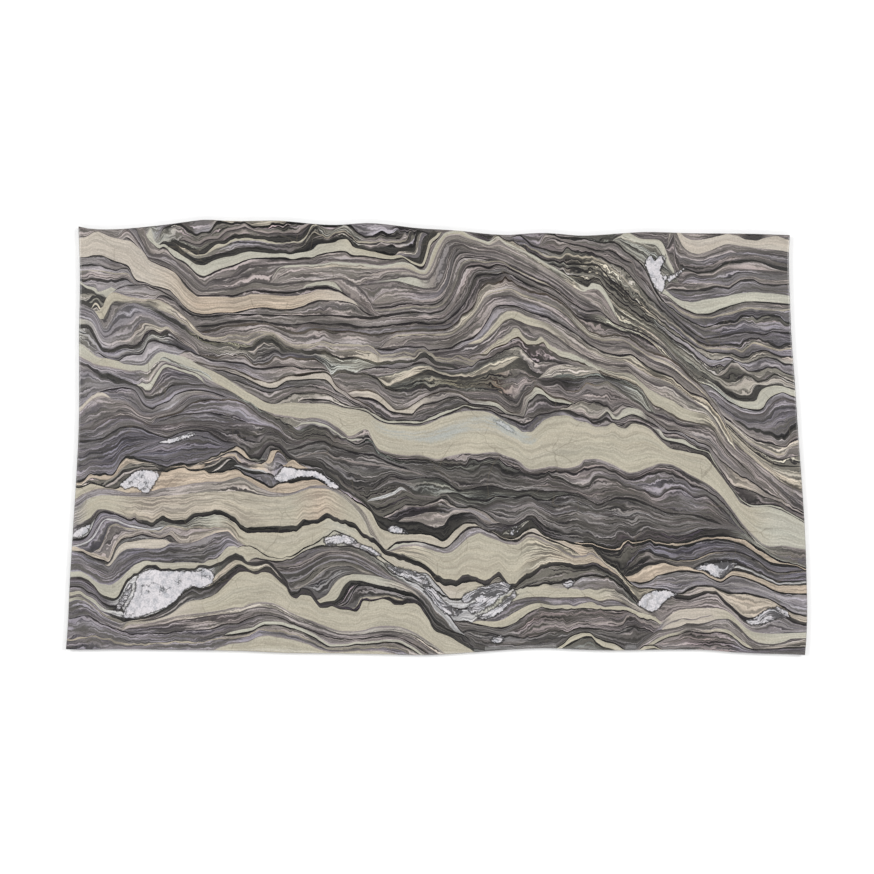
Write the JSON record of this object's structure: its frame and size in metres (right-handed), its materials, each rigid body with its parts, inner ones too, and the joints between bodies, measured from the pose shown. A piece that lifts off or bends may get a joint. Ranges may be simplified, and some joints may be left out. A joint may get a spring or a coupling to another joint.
{
  "type": "quartzite slab",
  "caption": "Large flat slab of banded natural quartzite with a polished face and rough wavy edges, for cutting into worktops or panels.",
  "frame": {"origin": "middle of the slab's footprint, on its sawn back", "axes": "+X along the slab's length, +Y across it towards the upper side, +Z out of the polished face"},
  "size_m": [3.056, 1.7944, 0.03],
  "materials": {
    "quartzite": "polished face, rough edges, sawn back"
  },
  "bodies": {
    "root": {"slab": "quartzite"}
  },
  "joints": []
}
